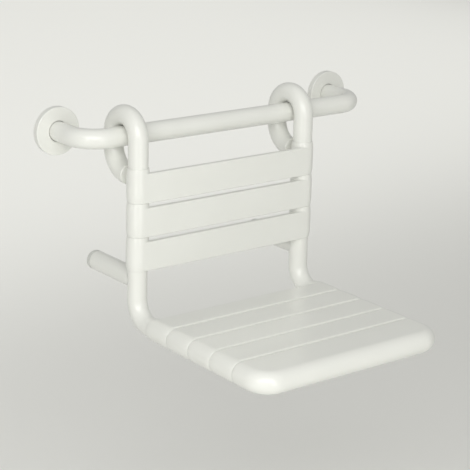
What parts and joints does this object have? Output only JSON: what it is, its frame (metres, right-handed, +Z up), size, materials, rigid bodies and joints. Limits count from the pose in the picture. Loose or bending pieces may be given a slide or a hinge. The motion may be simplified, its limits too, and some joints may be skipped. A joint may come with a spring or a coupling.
{
  "type": "hanging shower seat",
  "caption": "White tubular shower seat with a slatted back and slatted seat, hung by two tube hooks on a wall grab rail and held off the wall by two struts.",
  "frame": {"origin": "on the wall plane, half-way between the two wall plates, at the height of the rail's axis", "axes": "+X along the wall to the right as seen from the room, +Y into the wall, +Z up"},
  "size_m": [0.655, 0.5018, 0.3733],
  "materials": {
    "polyamide": "smooth moulded white polyamide with a soft gloss",
    "steel": "zinc-plated steel tube and plate, dull",
    "screw_steel": "stainless steel screws",
    "rubber": "light grey elastomer, matt"
  },
  "bodies": {
    "wall_rail": {"rail_tube": "polyamide", "rail_core": "steel", "rail_cover_left": "polyamide", "rail_cover_right": "polyamide", "wall_plate_left": "steel", "wall_plate_right": "steel", "wall_screw_left_1": "screw_steel", "wall_screw_left_2": "screw_steel", "wall_screw_left_3": "screw_steel", "wall_screw_right_1": "screw_steel", "wall_screw_right_2": "screw_steel", "wall_screw_right_3": "screw_steel"},
    "seat": {"side_tube_left": "polyamide", "side_tube_right": "polyamide", "hook_cap_left": "polyamide", "hook_cap_right": "polyamide", "back_slat_top": "polyamide", "back_slat_middle": "polyamide", "back_slat_bottom": "polyamide", "seat_slat_rear": "polyamide", "seat_slat_second": "polyamide", "seat_slat_third": "polyamide", "seat_slat_fourth": "polyamide", "seat_front": "polyamide", "strut_left": "polyamide", "strut_right": "polyamide", "frame_core": "steel", "strut_stud_left": "steel", "strut_stud_right": "steel", "strut_buffer_left": "rubber", "strut_buffer_right": "rubber"}
  },
  "joints": [
    {"name": "seat_swing", "type": "hinge", "parent": "wall_rail", "child": "seat", "pos_m": [0, -0.0925, 0], "axis": [-1, 0, 0], "range_deg": [0, 130]}
  ]
}
